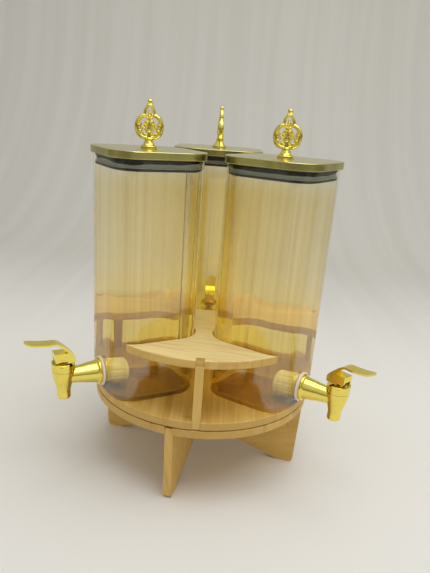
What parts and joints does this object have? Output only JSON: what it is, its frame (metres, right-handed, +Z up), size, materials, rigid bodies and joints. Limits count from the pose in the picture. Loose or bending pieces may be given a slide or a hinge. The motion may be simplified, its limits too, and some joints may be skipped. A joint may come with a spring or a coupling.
{
  "type": "cocktail dispenser",
  "caption": "Cocktail dispenser: tall amber glass jars with sealed metal lids and lever taps, standing in a shelf on a round bamboo turntable.",
  "frame": {"origin": "on the table, under the turntable's axis", "axes": "+Z up the turntable's axis; -Y towards the side between two of the jars; the third jar stands towards +Y"},
  "size_m": [0.3288, 0.3092, 0.3715],
  "materials": {
    "bamboo_board": "satin clear lacquer, fine straight grain",
    "bamboo_leg": "satin clear lacquer, fine straight grain",
    "bamboo_slat": "satin clear lacquer, end grain at the tenon",
    "amber_glass": "clear amber glass with a pearly coating",
    "lid_metal": "brushed flat plate with a bright edge",
    "knob_metal": "polished cast ornament",
    "tap_metal": "polished plating",
    "seal_rubber": "matte black silicone",
    "plug_plastic": "moulded, matte",
    "washer_silicone": "translucent pale silicone",
    "nut_plastic": "moulded, semi-gloss",
    "valve_brass": "turned",
    "valve_rubber": "matte",
    "spring_steel": "drawn wire",
    "bearing_steel": "pressed and rolled",
    "cage_plastic": "moulded",
    "bushing_plastic": "moulded"
  },
  "bodies": {
    "stand": {"lower_disc": "bamboo_board", "leg_board_front": "bamboo_leg", "leg_board_side": "bamboo_leg", "pivot_pin": "bearing_steel", "bearing_lower_race": "bearing_steel", "bearing_balls": "bearing_steel", "bearing_cage": "cage_plastic"},
    "turntable": {"upper_disc": "bamboo_board", "jar_shelf": "bamboo_board", "slat_front": "bamboo_slat", "slat_right": "bamboo_slat", "slat_left": "bamboo_slat", "bearing_upper_race": "bearing_steel", "pivot_bushing": "bushing_plastic"},
    "jar_left": {"glass_jar_left": "amber_glass", "tap_body_left": "tap_metal", "tap_bonnet_left": "tap_metal", "tap_washers_left": "washer_silicone", "tap_nut_left": "nut_plastic"},
    "lid_left": {"lid_plate_left": "lid_metal", "lid_plug_left": "plug_plastic", "lid_seal_left": "seal_rubber", "lid_knob_left": "knob_metal", "knob_screw_left": "bearing_steel"},
    "valve_left": {"valve_stem_left": "valve_brass", "valve_seat_left": "valve_rubber", "valve_spring_left": "spring_steel", "lever_pin_left": "valve_brass"},
    "lever_left": {"tap_lever_left": "tap_metal"},
    "jar_right": {"glass_jar_right": "amber_glass", "tap_body_right": "tap_metal", "tap_bonnet_right": "tap_metal", "tap_washers_right": "washer_silicone", "tap_nut_right": "nut_plastic"},
    "lid_right": {"lid_plate_right": "lid_metal", "lid_plug_right": "plug_plastic", "lid_seal_right": "seal_rubber", "lid_knob_right": "knob_metal", "knob_screw_right": "bearing_steel"},
    "valve_right": {"valve_stem_right": "valve_brass", "valve_seat_right": "valve_rubber", "valve_spring_right": "spring_steel", "lever_pin_right": "valve_brass"},
    "lever_right": {"tap_lever_right": "tap_metal"},
    "jar_back": {"glass_jar_back": "amber_glass", "tap_body_back": "tap_metal", "tap_bonnet_back": "tap_metal", "tap_washers_back": "washer_silicone", "tap_nut_back": "nut_plastic"},
    "lid_back": {"lid_plate_back": "lid_metal", "lid_plug_back": "plug_plastic", "lid_seal_back": "seal_rubber", "lid_knob_back": "knob_metal", "knob_screw_back": "bearing_steel"},
    "valve_back": {"valve_stem_back": "valve_brass", "valve_seat_back": "valve_rubber", "valve_spring_back": "spring_steel", "lever_pin_back": "valve_brass"},
    "lever_back": {"tap_lever_back": "tap_metal"}
  },
  "joints": [
    {"name": "turntable_spin", "type": "hinge", "parent": "stand", "child": "turntable", "pos_m": [0, 0, 0.085], "axis": [0, 0, 1], "continuous": true},
    {"name": "jar_lift_left", "type": "slide", "parent": "turntable", "child": "jar_left", "axis": [0, 0, 1], "range_m": [0, 0.08]},
    {"name": "lid_lift_left", "type": "slide", "parent": "jar_left", "child": "lid_left", "axis": [0, 0, 1], "range_m": [0, 0.03]},
    {"name": "valve_slide_left", "type": "slide", "parent": "jar_left", "child": "valve_left", "axis": [0, 0, 1], "range_m": [0, 0.003], "stiffness_N_per_m": 60, "springref_m": -0.01, "deforming": ["valve_spring_left"]},
    {"name": "lever_press_left", "type": "hinge", "parent": "valve_left", "child": "lever_left", "pos_m": [-0.1364, -0.07875, 0.1306], "axis": [0.5, -0.866, 0], "range_deg": [0, 25], "stiffness_Nm_per_rad": 0.012, "springref_deg": -57.3},
    {"name": "jar_lift_right", "type": "slide", "parent": "turntable", "child": "jar_right", "axis": [0, 0, 1], "range_m": [0, 0.08]},
    {"name": "lid_lift_right", "type": "slide", "parent": "jar_right", "child": "lid_right", "axis": [0, 0, 1], "range_m": [0, 0.03]},
    {"name": "valve_slide_right", "type": "slide", "parent": "jar_right", "child": "valve_right", "axis": [0, 0, 1], "range_m": [0, 0.003], "stiffness_N_per_m": 60, "springref_m": -0.01, "deforming": ["valve_spring_right"]},
    {"name": "lever_press_right", "type": "hinge", "parent": "valve_right", "child": "lever_right", "pos_m": [0.13611, -0.07912, 0.1306], "axis": [0.7431, 0.6691, 0], "range_deg": [0, 25], "stiffness_Nm_per_rad": 0.012, "springref_deg": -57.3},
    {"name": "jar_lift_back", "type": "slide", "parent": "turntable", "child": "jar_back", "axis": [0, 0, 1], "range_m": [0, 0.08]},
    {"name": "lid_lift_back", "type": "slide", "parent": "jar_back", "child": "lid_back", "axis": [0, 0, 1], "range_m": [0, 0.03]},
    {"name": "valve_slide_back", "type": "slide", "parent": "jar_back", "child": "valve_back", "axis": [0, 0, 1], "range_m": [0, 0.003], "stiffness_N_per_m": 60, "springref_m": -0.01, "deforming": ["valve_spring_back"]},
    {"name": "lever_press_back", "type": "hinge", "parent": "valve_back", "child": "lever_back", "pos_m": [0, 0.1575, 0.1306], "axis": [-1, 0, 0], "range_deg": [0, 25], "stiffness_Nm_per_rad": 0.012, "springref_deg": -57.3}
  ],
  "couplings": [
    {"joint": "lever_press_left", "follows": "valve_slide_left", "rad_per_m": 145.44},
    {"joint": "lever_press_right", "follows": "valve_slide_right", "rad_per_m": 145.44},
    {"joint": "lever_press_back", "follows": "valve_slide_back", "rad_per_m": 145.44}
  ]
}
